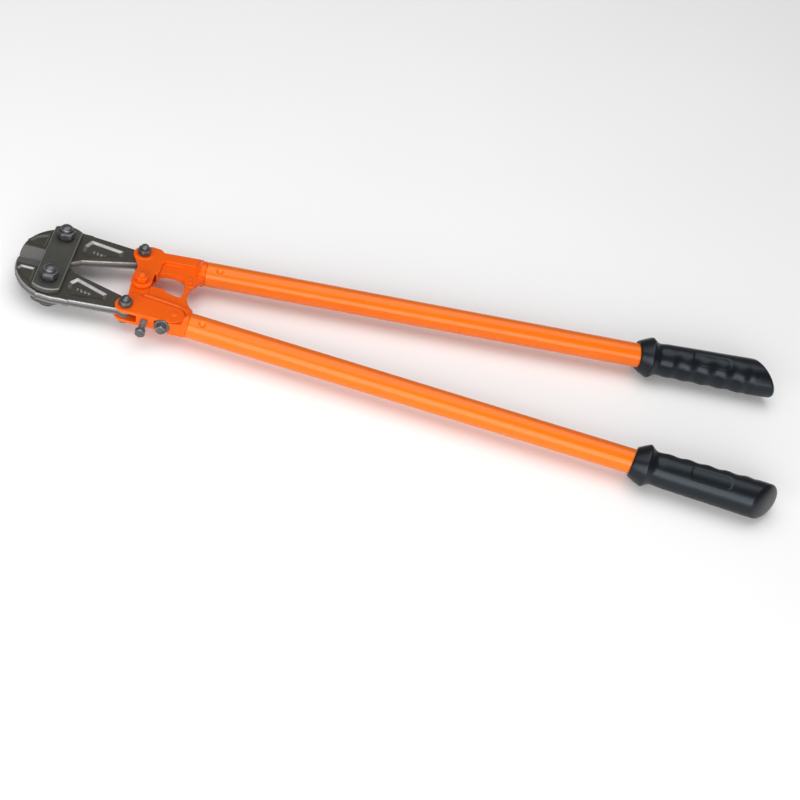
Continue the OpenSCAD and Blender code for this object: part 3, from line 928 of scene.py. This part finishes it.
# ---- the whole tool ------------------------------------------------------------
def build_tool():
    forged_jaw("jaw_upper", "upper_jaw_forging", 1)
    forged_jaw("jaw_lower", "lower_jaw_forging", -1)
    strap_plate("strap_top", "top_strap_plate")
    strap_plate("strap_bottom", "bottom_strap_plate")
    forged_yoke("upper_yoke", "upper_yoke_forging", 0.5, 4)
    forged_yoke("lower_yoke", "lower_yoke_forging", 0.5, 4)
    forged_yoke("adjuster_link", "adjuster_link_plates", 0.45, 3)
    for which in ("upper", "lower"):
        eased_fastener("jaw_bolt_" + which, which + "_jaw_bolt", BOLT_STEEL)
        eased_fastener("jaw_nut_" + which, which + "_jaw_nut", BOLT_STEEL)
        eased_fastener("jaw_lock_washer_" + which, which + "_lock_washer", WASHER_STEEL)
        eased_fastener("tail_bolt_" + which, which + "_tail_bolt", BOLT_STEEL)
        eased_fastener("tail_nut_" + which, which + "_tail_nut", BOLT_STEEL)
    eased_fastener("centre_bolt", "painted_centre_bolt", YOKE_PAINT)
    eased_fastener("centre_nut", "painted_centre_nut", YOKE_PAINT)
    eased_fastener("link_rivet", "painted_link_rivet", YOKE_PAINT)
    eased_fastener("adjusting_screw", "adjusting_screw_body", BOLT_STEEL)
    eased_fastener("lock_bolt", "lock_bolt_body", BOLT_STEEL)
    eased_fastener("lock_bolt_washer", "lock_bolt_flat_washer", BOLT_STEEL)
    handle_tube("tube_upper", "upper_handle_tube", 1)
    handle_tube("tube_lower", "lower_handle_tube", -1)
    moulded_grip("grip_upper", "upper_moulded_grip", 1, -1.0)
    moulded_grip("grip_lower", "lower_moulded_grip", -1, -2.6)
    add_stamps()
    add_screw_thread()


# ---- studio ----------------------------------------------------------------------
def lay_floor():
    mesh = bpy.data.meshes.new("studio_floor")
    far = 12.0
    corners = [(-far, -far, 0), (far, -far, 0), (far, far, 0), (-far, far, 0)]
    mesh.from_pydata(corners, [], [(0, 1, 2, 3)])
    mesh.materials.append(floor_paper())
    floor = add_object("studio_floor", mesh)
    # a hair below the tool, so that the two don't lie in one plane
    floor.location.z = -0.0002


def softbox(name, place, aim, width, height, watts):
    """A rectangular lamp at a place, turned to its aim; sizes in metres."""
    light = bpy.data.lights.new(name, "AREA")
    light.shape = "RECTANGLE"
    light.size = width
    light.size_y = height
    light.energy = watts
    lamp = bpy.data.objects.new(name, light)
    lamp.location = place
    toward = Vector(aim) - Vector(place)
    lamp.rotation_mode = "QUATERNION"
    lamp.rotation_quaternion = toward.to_track_quat("-Z", "Y")
    bpy.context.scene.collection.objects.link(lamp)


def light_studio():
    world = bpy.data.worlds.new("studio_air")
    world.use_nodes = True
    air = world.node_tree.nodes["Background"]
    air.inputs["Color"].default_value = (1, 1, 1, 1)
    air.inputs["Strength"].default_value = 0.24
    bpy.context.scene.world = world
    softbox("overhead_box", (-0.2, 0.2, 2.1), (0, 0, 0), 3.2, 1.8, 35)
    softbox("front_box", (-0.3, -2.1, 0.95), (0, 0, 0), 3.4, 1.2, 50)
    softbox("front_strip", (0.1, -1.7, 0.16), (0, 0, 0.02), 3.2, 0.16, 12)


def aim_camera():
    """A long lens, looking down on the tool from its near side."""
    camera = bpy.data.cameras.new("view")
    camera.lens = 78.457
    camera.sensor_width = 36
    camera.clip_start = 0.05
    camera.clip_end = 50
    right = Vector((0.970173, 0.126045, 0.207066))
    down = Vector((0.236433, -0.680548, -0.693508))
    ahead = Vector((0.053505, 0.721781, -0.690051))
    turn = Matrix((right, -down, -ahead)).transposed()
    viewer = bpy.data.objects.new("view", camera)
    viewer.rotation_mode = "QUATERNION"
    viewer.rotation_quaternion = turn.to_quaternion()
    viewer.location = (-0.0978, -1.5064, 1.3851)
    bpy.context.scene.collection.objects.link(viewer)
    bpy.context.scene.camera = viewer


build_tool()
lay_floor()
light_studio()
aim_camera()
bpy.context.scene.view_settings.view_transform = "Standard"
